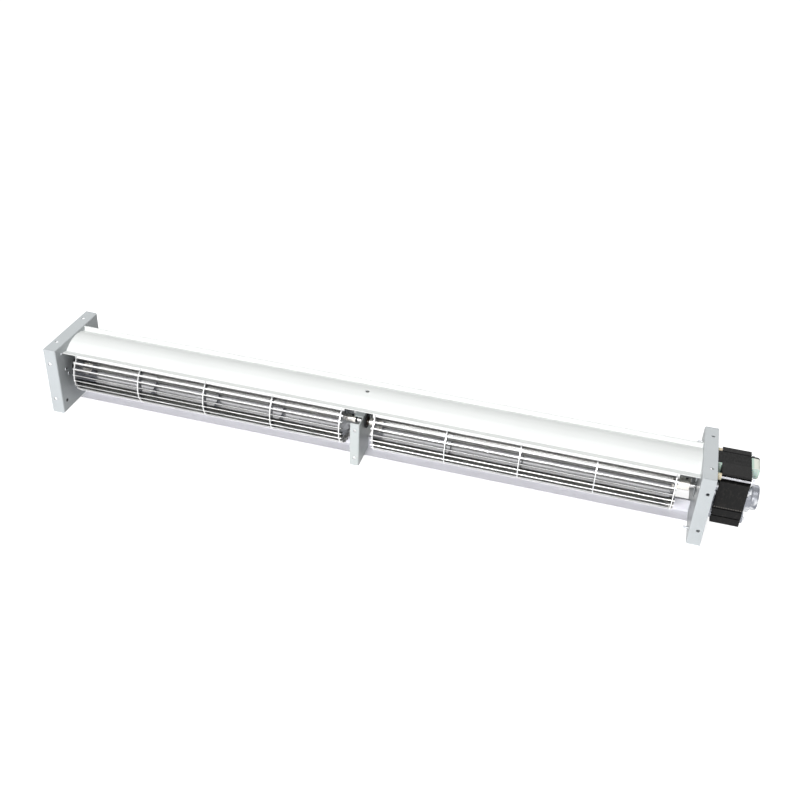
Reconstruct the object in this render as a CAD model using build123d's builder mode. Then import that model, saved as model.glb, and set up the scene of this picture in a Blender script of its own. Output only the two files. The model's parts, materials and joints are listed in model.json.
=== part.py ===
"""Cross flow fan: two impellers on one line between folded end plates, driven by a shaded pole motor.

X runs along the rotor towards the motor, Y from the inlet side to the back and Z up. The origin is the
centre of the bolt pattern in the plane of the outlet, which is also the plane that the fan stands on.
Sizes are in millimetres.
"""

from build123d import *

import os
from math import asin, cos, degrees, pi, radians, sin, sqrt

os.makedirs("parts", exist_ok=True)

# Clearances
touch = 0.05  # between a pressed or slotted piece and its seat
running = 0.03  # radial, shaft in a bush
air_gap = 0.35  # radial, motor rotor in its stator
over_cut = 0.2  # that a cut runs past its faces
head_rounding = 0.6  # share of the height of a head

# End plates
span = 784.0  # between the two end plates
plate_depth = 104.0
plate_above_axis = 43.5
plate_sheet = 1.2
plate_bend = 1.0  # inside radius of the folds
flange_width = 16.2
corner_slit = 0.6  # where two folded flanges meet
front_to_pattern = 54.0  # from the front face to the centre of the bolt patterns
hole_from_web = 10.0
flange_hole_d = 4.3
depth_hole_pitch = 64.0  # top and bottom flanges
height_hole_pitch = 52.0  # front and back flanges
corner_screw_d = 3.0
corner_screw_high = (19.3, 9.9)  # from the back and top edges
corner_screw_low = (9.6, 14.8)  # from the front and bottom edges
corner_screw_length = 6.0  # inside the fan
shaft_window_d = 26.0

# Rotor line
axis_from_front = 44.0
axis_height = 49.5
centre_gap = 42.0  # between the two impellers

# Impellers
wheel_d = 65.0
segments = 4
end_gap = 14.0  # end plate to left impeller
drive_gap = 24.0  # right impeller to motor end plate
blade_count = 24
blade_sheet = 0.55
blade_root_r = 24.2
blade_curve_r = 7.6
blade_turn = 67.0  # degrees that the blade curves through
blade_overhang = 3.0  # beyond the end discs
disc_sheet = 1.0
ring_inner_r = 22.6

# Hubs and shafts
hub_flange_d = 22.0
hub_flange_sheet = 1.5
end_hub_d = 10.0
end_hub_length = 7.0
centre_hub_d = 9.4
centre_hub_length = 12.0
drive_hub_d = 15.0
drive_hub_length = 17.0
end_shaft_d = 6.0
centre_shaft_d = 5.0
motor_shaft_d = 6.0
shaft_end_inset = 0.5  # shaft end inside the hub's flange
set_screw_d = 3.0
set_screw_proud = 0.4
set_screw_from_end = 4.4  # from the outer end of the hub
set_screw_socket_d = 1.6
set_screw_socket = 1.2
washer_d = 8.6
washer_sheet = 1.3

# Casing sheets
shell_sheet = 0.8
shell_bend = 0.8
wheel_clearance = 3.0  # at the inlet lip and at the tongue
spiral_start = 122.0  # degrees round the rotor line from the back, at the inlet lip
spiral_reach_angle = -63.4  # where the spiral would reach the back of the outlet
joint_angle = 53.0  # where the top shell meets the rear wall
spiral_arcs = 3
lip_width = 9.6
lip_fall = 12.0  # degrees
joint_flange = 4.6
tongue_flange = 18.0
tongue_front_from_plate = 40.0
tongue_return = 6.0
tongue_lean = 2.0  # degrees
tongue_turn = 118.0  # degrees
wall_end_angle = -6.0  # where the rear wall leaves the spiral
wall_back_margin = 0.5  # outlet flange to the back of the end plates
outlet_flange = 4.1
oil_hole_d = 5.0
oil_hole_from_web = 0.7  # left of the right face of the bracket's web
oil_hole_angle = 84.8  # degrees round the rotor line

# Centre bracket
bracket_sheet = 1.2
bracket_bend = 1.0
bracket_flange = 11.6
bracket_front_from_plate = 15.5
bracket_above_axis = 12.5
bracket_back_from_plate = 70.0
bracket_floor_gap = 0.2
bracket_top_flange = (33.0, 60.0)  # from the front of the plates
bracket_hole_d = 4.0
bracket_low_hole = 11.8  # above the outlet
bracket_high_hole = 9.9  # below the top of the bracket
bracket_from_left_wheel = 25.0  # to the right face of its web
bracket_foot = (43.0, 54.0)  # from the front of the plates
bracket_tongue_gap = 1.0  # cut-out of the bracket round the tongue
foot_rivet_pitch = 5.6
foot_rivet_d = 2.4
foot_rivet_head_d = 4.2
foot_rivet_head = 1.0

# Bearings
bush_length = 8.0
bush_wall = 2.6
bush_chamfer = 0.4
rubber_wall = 3.4
rubber_length = 5.0
rubber_groove = 1.4
rubber_lip = 1.4
rubber_lip_length = 0.8
bearing_plate_sheet = 1.0
bearing_plate_height = 30.0
bearing_plate_length = 66.0
bearing_plate_corner = 4.0
collar_wall = 1.0
collar_length = 7.0
rivet_d = 3.0
rivet_head_d = 4.2
rivet_head = 0.9
bearing_rivets = ((-26.7, 7.9), (-21.1, -1.1))  # from the rotor line, and the same turned by 180 degrees

# Motor
motor_stand_off = 20.0  # end plate to lamination stack
stack_thickness = 31.6
stack_width = 54.0
stack_below_axis = 26.0
stack_below_plate = 1.0  # stack's top below the top of the end plate
stack_corner = 1.5
stack_groove = 1.4
stack_groove_depth = 1.6
stack_grooves = (-5.0, -15.5)  # from the rotor line, on the front and the back
stator_bore_d = 29.0
wound_bar_height = 6.1
wound_bar_below_top = 4.9
window_front = -4.5  # coil window, from the rotor line
window_from_back = 9.0  # coil window to the back of the stack
window_floor = 20.0
shading_wire_d = 1.4
shading_wall = 0.15  # between the rotor's bore and the ring's slot
shading_middle = 20.0  # degrees above the horizontal
shading_span = 40.0  # degrees
rotor_core_extra = 1.5  # rotor core beyond the stack at each end
bolt_groove = 5.6
bolt_groove_height = 9.4
bolt_groove_below_top = 1.2
bobbin_wall = 1.0
bobbin_flange = 1.2
bobbin_ease = 0.2
coil_depth = 2.6  # above and below the wound bar
coil_side_depth = 8.0  # beside the stack
coil_corner = 3.0
cover_sheet = 0.5
cover_drop = 0.6
terminal_width = 2.8
terminal_sheet = 0.8
terminal_length = 6.5
terminal_chamfer = 0.56
terminal_pitch = 4.6
terminal_z = 29.4  # above the rotor line
mount_bolt_d = 4.0
mount_head_d = 7.4
mount_head = 3.2
mount_washer_d = 11.0
mount_washer_sheet = 0.8
stand_off_d = 8.0
lobe_pitch = 19.0  # bracket screws, each way from the rotor line
lobe_angle = 45.0  # degrees, of the arms to the bracket screws
lobe_r = 5.0
lobe_plate = 2.6
cup_r = 18.0
cup_wall = 1.4
cup_length = 8.0
boss_r = 14.5
boss_length = 7.4
boss_edge = 2.0
boss_cap = 1.6
boss_ease = 1.2  # radial, shaft in the boss
motor_bush_length = 7.0
screw_d = 3.0
screw_head_d = 5.6
screw_head = 2.2

# Places worked out from the sizes above
plate_height = axis_height + plate_above_axis
front = -front_to_pattern
back = front + plate_depth
axis_y = front + axis_from_front
web_x = span / 2
wheel_r = wheel_d / 2
wheel_length = (span - end_gap - centre_gap - drive_gap) / 2
segment_pitch = wheel_length / segments
left_wheel_x = -web_x + end_gap
right_wheel_x = web_x - drive_gap - wheel_length
spiral_r = wheel_r + wheel_clearance
casing_back = back - wall_back_margin - outlet_flange - axis_y
spiral_growth = (casing_back - shell_sheet - spiral_r) / (spiral_start - spiral_reach_angle)
bracket_web_x = left_wheel_x + wheel_length + bracket_from_left_wheel
bracket_height = axis_height + bracket_above_axis
bracket_holes_z = (bracket_low_hole, bracket_height - bracket_high_hole)
oil_hole_x = bracket_web_x - oil_hole_from_web
stack_above_axis = plate_above_axis - stack_below_plate
bar_top = stack_above_axis - wound_bar_below_top
wound_bar = (bar_top - wound_bar_height, bar_top)
window_y = (window_front, stack_width / 2 - window_from_back)
stack_x = web_x + plate_sheet + motor_stand_off
stack_end_x = stack_x + stack_thickness
bracket_fold = bracket_bend + bracket_sheet
foot_rivet_x = bracket_web_x - (bracket_fold + bracket_flange) / 2
foot_rivet_y = front + sum(bracket_foot) / 2


def across(x):
    """Plane across the rotor at x, with its origin on the rotor line and Y and Z as its axes."""
    return Plane((x, axis_y, axis_height), x_dir=(0, 1, 0), z_dir=(1, 0, 0))


def cross_section(x):
    """Plane across the fan at x, with Y and Z as its axes."""
    return Plane((x, 0, 0), x_dir=(0, 1, 0), z_dir=(1, 0, 0))


def save(piece, name):
    piece.part.label = name
    export_step(piece.part, f"parts/{name}.step")


def around(radius, angle):
    """Point in the across plane at an angle from the back, as seen from the motor."""
    return Vector(radius * cos(radians(angle)), radius * sin(radians(angle)))


def sheet_face(start, heading, steps, thickness, inset):
    """One face of a folded sheet. Steps are runs, or bends as an inside radius and an angle."""
    direction = Vector(1, 0).rotate(Axis.Z, heading)
    point = Vector(*start) + direction.rotate(Axis.Z, -90) * inset
    first = point
    for step in steps:
        if isinstance(step, tuple):
            radius, turn = step
            outside = inset if turn > 0 else thickness - inset
            edge = JernArc(point, direction, radius + outside, turn)
        else:
            edge = Line(point, point + direction * step)
        point, direction = edge @ 1, edge % 1
    return first, point


def folded_sheet(start, heading, steps, thickness):
    """Section of a folded sheet; start is on the face that lies to the left on the way along it."""
    with BuildSketch() as section:
        with BuildLine():
            left_start, left_end = sheet_face(start, heading, steps, thickness, 0)
            right_start, right_end = sheet_face(start, heading, steps, thickness, thickness)
            Line(left_start, right_start)
            Line(left_end, right_end)
        make_face()
    return section.sketch


def is_outer(edge):
    """True on the outer of a bush's two rims."""
    return edge.radius > centre_bush_d / 2 - touch


def ring(x, length, outer_d, inner_d):
    """Plain round piece on the rotor line."""
    with BuildPart() as piece:
        with BuildSketch(across(x)):
            Circle(outer_d / 2)
            if inner_d:
                Circle(inner_d / 2, mode=Mode.SUBTRACT)
        extrude(amount=length)
    return piece


# --- End plates -------------------------------------------------------------------------------------


def end_plate(side):
    """Shallow tray, folded outwards on all four sides; side is -1 on the left and 1 on the right."""
    outward = Plane(
        (side * web_x, (front + back) / 2, plate_height / 2), x_dir=(0, 1, 0), z_dir=(side, 0, 0)
    )
    flange_mid_x = side * (web_x + flange_width / 2)
    hole_x = side * (web_x + hole_from_web)
    with BuildPart() as tray:
        with BuildSketch(outward):
            Rectangle(plate_depth, plate_height)
        extrude(amount=flange_width)
        web_face = tray.faces().sort_by(Axis.X)[0 if side > 0 else -1]
        fillet(web_face.edges(), plate_bend + plate_sheet)
        open_face = tray.faces().sort_by(Axis.X)[-1 if side > 0 else 0]
        offset(amount=-plate_sheet, openings=open_face)
        # Slits where the side flanges stop short of the top and bottom ones
        slit_y = plate_depth / 2 - plate_sheet - corner_slit / 2
        slit_length = flange_width - plate_bend - plate_sheet
        slit_x = side * (web_x + flange_width - slit_length / 2)
        with Locations(
            *(
                (slit_x, (front + back) / 2 + sign_y * slit_y, z)
                for sign_y in (-1, 1)
                for z in (plate_sheet / 2, plate_height - plate_sheet / 2)
            )
        ):
            Box(slit_length, corner_slit, plate_sheet + over_cut, mode=Mode.SUBTRACT)
        # Bolt holes through the top and bottom flanges, then through the front and back ones
        with Locations((hole_x, 0, plate_height / 2)):
            with GridLocations(0, depth_hole_pitch, 1, 2):
                Cylinder(flange_hole_d / 2, plate_height + over_cut, mode=Mode.SUBTRACT)
        with Locations(
            *(
                (hole_x, (front + back) / 2, plate_height / 2 + sign_z * height_hole_pitch / 2)
                for sign_z in (-1, 1)
            )
        ):
            Cylinder(
                flange_hole_d / 2, plate_depth + over_cut, rotation=(90, 0, 0), mode=Mode.SUBTRACT
            )
        # Window for the shaft, and the two screw holes in opposite corners
        with BuildSketch(across(flange_mid_x)):
            Circle(shaft_window_d / 2)
        extrude(amount=flange_width, both=True, mode=Mode.SUBTRACT)
        with BuildSketch(cross_section(flange_mid_x)):
            with Locations(*corner_screw_points()):
                Circle(corner_screw_d / 2)
        extrude(amount=flange_width, both=True, mode=Mode.SUBTRACT)
        if side < 0:
            with BuildSketch(across(flange_mid_x)):
                with Locations(*rivet_points()):
                    Circle(rivet_d / 2 + touch)
            extrude(amount=flange_width, both=True, mode=Mode.SUBTRACT)
        else:
            with BuildSketch(across(flange_mid_x)):
                with Locations(*mount_bolt_points()):
                    Circle(mount_bolt_d / 2 + touch)
            extrude(amount=flange_width, both=True, mode=Mode.SUBTRACT)
    return tray


def corner_screw_points():
    """The two corner screws, in the plane across the fan."""
    return (
        (back - corner_screw_high[0], plate_height - corner_screw_high[1]),
        (front + corner_screw_low[0], corner_screw_low[1]),
    )


def rivet_points():
    """Rivets of the left bearing plate, round the rotor line."""
    return [(turn * y, turn * z) for y, z in bearing_rivets for turn in (1, -1)]


def mount_bolt_points():
    """Bolts that hang the motor on its end plate, round the rotor line."""
    y = stack_width / 2 - bolt_groove / 2
    z = stack_above_axis - bolt_groove_below_top - bolt_groove_height / 2
    return [(-y, z), (y, z)]


left_end_plate = end_plate(-1)
save(left_end_plate, "left_end_plate")
right_end_plate = end_plate(1)
save(right_end_plate, "right_end_plate")

# Screws in two opposite corners of the motor end plate, their points standing into the fan
corner_screw_length = 6.0
with BuildPart() as corner_screws:
    with BuildSketch(cross_section(web_x + plate_sheet)):
        with Locations(*corner_screw_points()):
            Circle(screw_head_d / 2)
    extrude(amount=screw_head)
    with BuildSketch(cross_section(web_x + plate_sheet)):
        with Locations(*corner_screw_points()):
            Circle(corner_screw_d / 2 - touch)
    extrude(amount=-plate_sheet - corner_screw_length)
save(corner_screws, "corner_screws")

# --- Casing sheets ----------------------------------------------------------------------------------


def spiral_steps(start_angle, end_angle):
    """The casing's spiral from one angle to another as arcs of growing radius."""
    sweep = (start_angle - end_angle) / spiral_arcs
    steps = []
    for number in range(spiral_arcs):
        middle = start_angle - (number + 0.5) * sweep
        steps.append((spiral_radius(middle), -sweep))
    return steps


def spiral_radius(angle):
    return spiral_r + spiral_growth * (spiral_start - angle)


spiral_lean = degrees(asin(spiral_growth * 180 / pi / spiral_r))


def spiral_heading(angle):
    """Direction of the spiral at an angle, on the way from the inlet lip to the outlet."""
    return angle - 90 + spiral_lean


casing = across(-web_x)

# Top shell: inlet lip, spiral over the wheel, then up into the joint flange
fold = around(spiral_radius(spiral_start) + shell_sheet, spiral_start)
lip_start = fold - around(lip_width, -lip_fall)
lip_heading = spiral_heading(spiral_start)
joint_heading = lip_heading - (spiral_start - joint_angle)
shell_section = folded_sheet(
    (lip_start.X, lip_start.Y),
    -lip_fall,
    [
        lip_width - shell_bend,
        (shell_bend, lip_heading + lip_fall),
        *spiral_steps(spiral_start, joint_angle),
        (shell_bend, 90 - joint_heading),
        joint_flange,
    ],
    shell_sheet,
)
joint_corner = shell_section.vertices().group_by(Axis.X)[-1].sort_by(Axis.Y)[-1]
oil_hole_y = around(spiral_radius(oil_hole_angle), oil_hole_angle).X
with BuildPart() as top_shell:
    with BuildSketch(casing):
        add(shell_section)
    extrude(amount=span)
    with BuildSketch(Plane.XY.offset(axis_height)):
        with Locations((oil_hole_x, axis_y + oil_hole_y)):
            Circle(oil_hole_d / 2)
    extrude(amount=plate_height, mode=Mode.SUBTRACT)
save(top_shell, "top_shell")

# Rear wall: hangs from the joint flange, follows the spiral down and ends in the outlet flange
wall_start = (joint_corner.X + shell_sheet, joint_corner.Y)
wall_heading = joint_heading - (joint_angle - wall_end_angle)


def wall_section(drop):
    """The rear wall's section, with its straight run down of this length."""
    return folded_sheet(
        wall_start,
        -90,
        [
            joint_flange - shell_sheet,
            (shell_bend, joint_heading + 90),
            *spiral_steps(joint_angle, wall_end_angle),
            drop,
            (shell_bend, -wall_heading),
            outlet_flange - shell_sheet - shell_bend,
        ],
        shell_sheet,
    )


shortest = wall_section(shell_bend).bounding_box()
wall_drop = shell_bend + (shortest.min.Y + axis_height) / sin(radians(-wall_heading))
rear_wall_section = wall_section(wall_drop)
with BuildPart() as rear_wall:
    with BuildSketch(casing):
        add(rear_wall_section)
    extrude(amount=span)
save(rear_wall, "rear_wall")

# Tongue: outlet flange, upright close to the wheel, and a return lip
tongue_y = front + tongue_front_from_plate + tongue_flange - axis_y
tongue_top = axis_height - sqrt(spiral_r**2 - (tongue_y - shell_sheet) ** 2)
tongue_section = folded_sheet(
    (front + tongue_front_from_plate, shell_sheet),
    0,
    [
        tongue_flange - 2 * shell_sheet,
        (shell_bend, 90 + tongue_lean),
        tongue_top - 2 * shell_sheet - 2 * shell_bend,
        (shell_bend, -tongue_turn),
        tongue_return,
    ],
    shell_sheet,
)
with BuildPart() as tongue:
    with BuildSketch(cross_section(-web_x)):
        add(tongue_section)
    extrude(amount=span)
    with BuildSketch():
        with Locations((foot_rivet_x, foot_rivet_y)):
            with GridLocations(0, foot_rivet_pitch, 1, 2):
                Circle(foot_rivet_d / 2)
    extrude(amount=shell_sheet, mode=Mode.SUBTRACT)
save(tongue, "tongue")

# --- Centre bracket ---------------------------------------------------------------------------------

bracket_left = bracket_web_x - bracket_sheet
bracket_front = front + bracket_front_from_plate
bracket_back = front + bracket_back_from_plate
bracket_floor = shell_sheet + bracket_floor_gap
tongue_box = tongue_section.bounding_box()
tongue_step = tongue_box.max.Y + bracket_tongue_gap
tongue_front = axis_y + tongue_y - shell_sheet - bracket_tongue_gap
centre_bush_d = centre_shaft_d + 2 * (running + bush_wall)
centre_rubber_d = centre_bush_d + 2 * (touch + rubber_wall)
centre_seat_d = centre_rubber_d - 2 * rubber_groove
flange_fold = folded_sheet(
    (0, -bracket_fold),
    90,
    [(bracket_bend, -90), bracket_flange - bracket_fold],
    bracket_sheet,
)
with BuildPart() as centre_bracket:
    # Web across the fan, stepped over the tongue, with room for its three folds
    with BuildSketch(cross_section(bracket_left)):
        with BuildLine():
            Polyline(
                (bracket_front + bracket_fold, bracket_floor),
                (tongue_front, bracket_floor),
                (tongue_front, tongue_step),
                (bracket_back, tongue_step),
                (bracket_back, bracket_height),
                (bracket_front + bracket_fold, bracket_height),
                close=True,
            )
        make_face()
        with Locations((front + sum(bracket_top_flange) / 2, bracket_height)):
            Rectangle(
                bracket_top_flange[1] - bracket_top_flange[0], 2 * bracket_fold, mode=Mode.SUBTRACT
            )
        with Locations((foot_rivet_y, bracket_floor)):
            Rectangle(bracket_foot[1] - bracket_foot[0], 2 * bracket_fold, mode=Mode.SUBTRACT)
    extrude(amount=bracket_sheet)
    # Front flange, top flange and foot, all folded to the left
    with BuildSketch(Plane((bracket_web_x, bracket_front, bracket_floor), (-1, 0, 0), (0, 0, 1))):
        add(flange_fold)
    extrude(amount=bracket_height - bracket_floor)
    top_flange_y = front + bracket_top_flange[0]
    with BuildSketch(Plane((bracket_web_x, top_flange_y, bracket_height), (-1, 0, 0), (0, 1, 0))):
        add(flange_fold)
    extrude(amount=bracket_top_flange[1] - bracket_top_flange[0])
    foot_y = front + bracket_foot[0]
    with BuildSketch(Plane((bracket_web_x, foot_y, bracket_floor), (-1, 0, 0), (0, -1, 0))):
        add(flange_fold)
    extrude(amount=-(bracket_foot[1] - bracket_foot[0]))
    # Screw holes in the front flange, rivet holes in the foot and the seat of the bearing rubber
    with BuildSketch(Plane.XZ.offset(-bracket_front)):
        with Locations(*((bracket_web_x - bracket_flange / 2, z) for z in bracket_holes_z)):
            Circle(bracket_hole_d / 2)
    extrude(amount=2 * bracket_sheet, both=True, mode=Mode.SUBTRACT)
    with BuildSketch(Plane.XY.offset(bracket_floor)):
        with Locations((foot_rivet_x, foot_rivet_y)):
            with GridLocations(0, foot_rivet_pitch, 1, 2):
                Circle(foot_rivet_d / 2)
    extrude(amount=bracket_sheet, mode=Mode.SUBTRACT)
    with BuildSketch(across(bracket_left)):
        Circle(centre_seat_d / 2)
    extrude(amount=bracket_sheet, mode=Mode.SUBTRACT)
save(centre_bracket, "centre_bracket")

# Rivets that hold the foot to the tongue, flush underneath
with BuildPart() as bracket_foot_rivets:
    with BuildSketch():
        with Locations((foot_rivet_x, foot_rivet_y)):
            with GridLocations(0, foot_rivet_pitch, 1, 2):
                Circle(foot_rivet_d / 2 - touch)
    extrude(amount=bracket_floor + bracket_sheet)
    with BuildSketch(Plane.XY.offset(bracket_floor + bracket_sheet)):
        with Locations((foot_rivet_x, foot_rivet_y)):
            with GridLocations(0, foot_rivet_pitch, 1, 2):
                Circle(foot_rivet_head_d / 2)
    extrude(amount=foot_rivet_head)
    fillet(bracket_foot_rivets.edges().group_by(Axis.Z)[-1], foot_rivet_head * head_rounding)
save(bracket_foot_rivets, "bracket_foot_rivets")

# --- Bearings ---------------------------------------------------------------------------------------


def bush(middle_x, length, bore_d, outer_d):
    """Plain sintered bush with chamfered ends."""
    piece = ring(middle_x - length / 2, length, outer_d, bore_d)
    with BuildPart() as chamfered:
        add(piece.part)
        chamfer(chamfered.edges().filter_by(GeomType.CIRCLE).filter_by(is_outer), bush_chamfer)
    return chamfered


bracket_middle_x = bracket_left + bracket_sheet / 2
centre_bearing_bush = bush(
    bracket_middle_x, bush_length, centre_shaft_d + 2 * running, centre_bush_d
)
save(centre_bearing_bush, "centre_bearing_bush")

# Centre rubber: a grommet whose groove sits on the edge of the bracket's seat
with BuildPart() as centre_bearing_rubber:
    with BuildSketch(across(bracket_middle_x - rubber_length / 2)):
        Circle(centre_rubber_d / 2)
        Circle(centre_bush_d / 2 + touch, mode=Mode.SUBTRACT)
    extrude(amount=rubber_length)
    with BuildSketch(across(bracket_left - touch)):
        Circle(centre_rubber_d / 2 + over_cut)
        Circle(centre_seat_d / 2 - touch, mode=Mode.SUBTRACT)
    extrude(amount=bracket_sheet + 2 * touch, mode=Mode.SUBTRACT)
save(centre_bearing_rubber, "centre_bearing_rubber")

# Left bearing: a pressed plate with a collar outside the left end plate, holding rubber and bush
end_bush_d = end_shaft_d + 2 * (running + bush_wall)
end_rubber_d = end_bush_d + 2 * (touch + rubber_wall)
collar_bore_d = end_rubber_d + 2 * touch
plate_inner_x = -web_x - plate_sheet
plate_outer_x = plate_inner_x - bearing_plate_sheet
collar_end_x = plate_outer_x - collar_length
with BuildPart() as left_bearing_plate:
    with BuildSketch(across(plate_inner_x)):
        RectangleRounded(bearing_plate_length, bearing_plate_height, bearing_plate_corner)
        with Locations(*rivet_points()):
            Circle(rivet_d / 2 + touch, mode=Mode.SUBTRACT)
    extrude(amount=-bearing_plate_sheet)
    with BuildSketch(across(plate_outer_x)):
        Circle(collar_bore_d / 2 + collar_wall)
    extrude(amount=-collar_length)
    with BuildSketch(across(plate_inner_x)):
        Circle(collar_bore_d / 2)
    extrude(amount=-bearing_plate_sheet - collar_length, mode=Mode.SUBTRACT)
save(left_bearing_plate, "left_bearing_plate")

with BuildPart() as left_bearing_rubber:
    with BuildSketch(across(plate_inner_x)):
        Circle(end_rubber_d / 2)
        Circle(end_bush_d / 2 + touch, mode=Mode.SUBTRACT)
    extrude(amount=collar_end_x - plate_inner_x)
    with BuildSketch(across(plate_inner_x)):
        Circle(end_rubber_d / 2 + rubber_lip)
        Circle(end_bush_d / 2 + touch, mode=Mode.SUBTRACT)
    extrude(amount=rubber_lip_length)
save(left_bearing_rubber, "left_bearing_rubber")

left_bush_x = (plate_inner_x + collar_end_x) / 2
left_bearing_bush = bush(left_bush_x, bush_length, end_shaft_d + 2 * running, end_bush_d)
save(left_bearing_bush, "left_bearing_bush")

# Rivets of the bearing plate, with a head on each side
with BuildPart() as left_bearing_rivets:
    with BuildSketch(across(-web_x)):
        with Locations(*rivet_points()):
            Circle(rivet_d / 2)
    extrude(amount=-plate_sheet - bearing_plate_sheet)
    for x, side in ((-web_x, 1), (plate_outer_x, -1)):
        with BuildSketch(across(x)):
            with Locations(*rivet_points()):
                Circle(rivet_head_d / 2)
        extrude(amount=side * rivet_head)
    rims = left_bearing_rivets.edges().group_by(Axis.X)
    fillet(rims[0] + rims[-1], rivet_head * head_rounding)
save(left_bearing_rivets, "left_bearing_rivets")

# --- Impellers --------------------------------------------------------------------------------------


def blade_section(ease):
    """One blade across the wheel, from its radial root out to its tip; ease makes it a slot."""
    centre = (blade_root_r, -blade_curve_r)
    ease_turn = degrees(ease / blade_curve_r)
    with BuildSketch() as section:
        with BuildLine():
            hollow = CenterArc(
                centre, blade_curve_r - ease, 90 + ease_turn, -blade_turn - 2 * ease_turn
            )
            bulge = CenterArc(
                centre,
                blade_curve_r + blade_sheet + ease,
                90 + ease_turn,
                -blade_turn - 2 * ease_turn,
            )
            Line(hollow @ 0, bulge @ 0)
            Line(hollow @ 1, bulge @ 1)
        make_face()
    return section.sketch


blade = blade_section(0)
slot = blade_section(touch)


def slotted_disc(x, hole_r):
    """Disc across the wheel at x, slotted for the blades."""
    with BuildPart() as disc:
        with BuildSketch(across(x - disc_sheet / 2)):
            Circle(wheel_r)
            Circle(hole_r, mode=Mode.SUBTRACT)
            with PolarLocations(0, blade_count):
                add(slot, mode=Mode.SUBTRACT)
        extrude(amount=disc_sheet)
    return disc.part


def wheel_blades(x):
    """The blades of the wheel whose left end disc is at x."""
    with BuildPart() as blades:
        with BuildSketch(across(x - blade_overhang)):
            with PolarLocations(0, blade_count):
                add(blade)
        extrude(amount=wheel_length + 2 * blade_overhang)
    return blades


def end_discs(x, left_hub_d, right_hub_d):
    """The two closed ends of the wheel that begins at x, with the holes for their hubs."""
    with BuildPart() as discs:
        add(slotted_disc(x, left_hub_d / 2 + touch))
        add(slotted_disc(x + wheel_length, right_hub_d / 2 + touch))
    return discs


def middle_rings(x):
    """The open rings that brace the blades between the ends."""
    with BuildPart() as rings:
        for number in range(1, segments):
            add(slotted_disc(x + number * segment_pitch, ring_inner_r))
    return rings


left_wheel_blades = wheel_blades(left_wheel_x)
save(left_wheel_blades, "left_wheel_blades")
left_wheel_end_discs = end_discs(left_wheel_x, end_hub_d, centre_hub_d)
save(left_wheel_end_discs, "left_wheel_end_discs")
left_wheel_rings = middle_rings(left_wheel_x)
save(left_wheel_rings, "left_wheel_rings")
right_wheel_blades = wheel_blades(right_wheel_x)
save(right_wheel_blades, "right_wheel_blades")
right_wheel_end_discs = end_discs(right_wheel_x, centre_hub_d, drive_hub_d)
save(right_wheel_end_discs, "right_wheel_end_discs")
right_wheel_rings = middle_rings(right_wheel_x)
save(right_wheel_rings, "right_wheel_rings")

# --- Hubs and shafts --------------------------------------------------------------------------------


def hub(disc_x, side, barrel_d, length, shaft_d):
    """Turned hub through an end disc; side is -1 where its barrel points left."""
    disc_inside = disc_x - side * disc_sheet / 2
    screw_x = hub_end(disc_x, side, length) - side * set_screw_from_end
    with BuildPart() as piece:
        with BuildSketch(across(disc_inside)):
            Circle(hub_flange_d / 2)
        extrude(amount=-side * hub_flange_sheet)
        with BuildSketch(across(disc_inside)):
            Circle(barrel_d / 2)
        extrude(amount=side * (disc_sheet + length))
        rim = piece.edges().group_by(Axis.X)[-1 if side > 0 else 0]
        chamfer(rim, bush_chamfer)
        with BuildSketch(across(disc_inside - side * hub_flange_sheet)):
            Circle(shaft_d / 2 + touch)
        extrude(amount=side * (hub_flange_sheet + disc_sheet + length), mode=Mode.SUBTRACT)
        with BuildSketch(Plane((screw_x, axis_y, axis_height))):
            Circle(set_screw_d / 2)
        extrude(amount=barrel_d, mode=Mode.SUBTRACT)
    return piece


def hub_end(disc_x, side, length):
    """X of a hub's outer end."""
    return disc_x + side * (disc_sheet / 2 + length)


def shaft_end(disc_x, side):
    """X of the end of the shaft held in a hub."""
    return disc_x - side * (disc_sheet / 2 + hub_flange_sheet - shaft_end_inset)


left_wheel_end_x = left_wheel_x + wheel_length
right_wheel_end_x = right_wheel_x + wheel_length
left_outer_hub = hub(left_wheel_x, -1, end_hub_d, end_hub_length, end_shaft_d)
save(left_outer_hub, "left_outer_hub")
left_inner_hub = hub(left_wheel_end_x, 1, centre_hub_d, centre_hub_length, centre_shaft_d)
save(left_inner_hub, "left_inner_hub")
right_inner_hub = hub(right_wheel_x, -1, centre_hub_d, centre_hub_length, centre_shaft_d)
save(right_inner_hub, "right_inner_hub")
drive_hub = hub(right_wheel_end_x, 1, drive_hub_d, drive_hub_length, motor_shaft_d)
save(drive_hub, "drive_hub")

# Set screws, from the shaft up to just above each hub
with BuildPart() as set_screws:
    for disc_x, side, length, barrel_d, shaft_d in (
        (left_wheel_x, -1, end_hub_length, end_hub_d, end_shaft_d),
        (left_wheel_end_x, 1, centre_hub_length, centre_hub_d, centre_shaft_d),
        (right_wheel_x, -1, centre_hub_length, centre_hub_d, centre_shaft_d),
        (right_wheel_end_x, 1, drive_hub_length, drive_hub_d, motor_shaft_d),
    ):
        screw_x = hub_end(disc_x, side, length) - side * set_screw_from_end
        screw_top = axis_height + barrel_d / 2 + set_screw_proud
        with BuildSketch(Plane((screw_x, axis_y, axis_height + shaft_d / 2 + touch))):
            Circle(set_screw_d / 2 - touch)
        extrude(amount=screw_top - axis_height - shaft_d / 2 - touch)
        with BuildSketch(Plane((screw_x, axis_y, screw_top))):
            RegularPolygon(set_screw_socket_d / 2, 6)
        extrude(amount=-set_screw_socket, mode=Mode.SUBTRACT)
save(set_screws, "set_screws")

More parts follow.
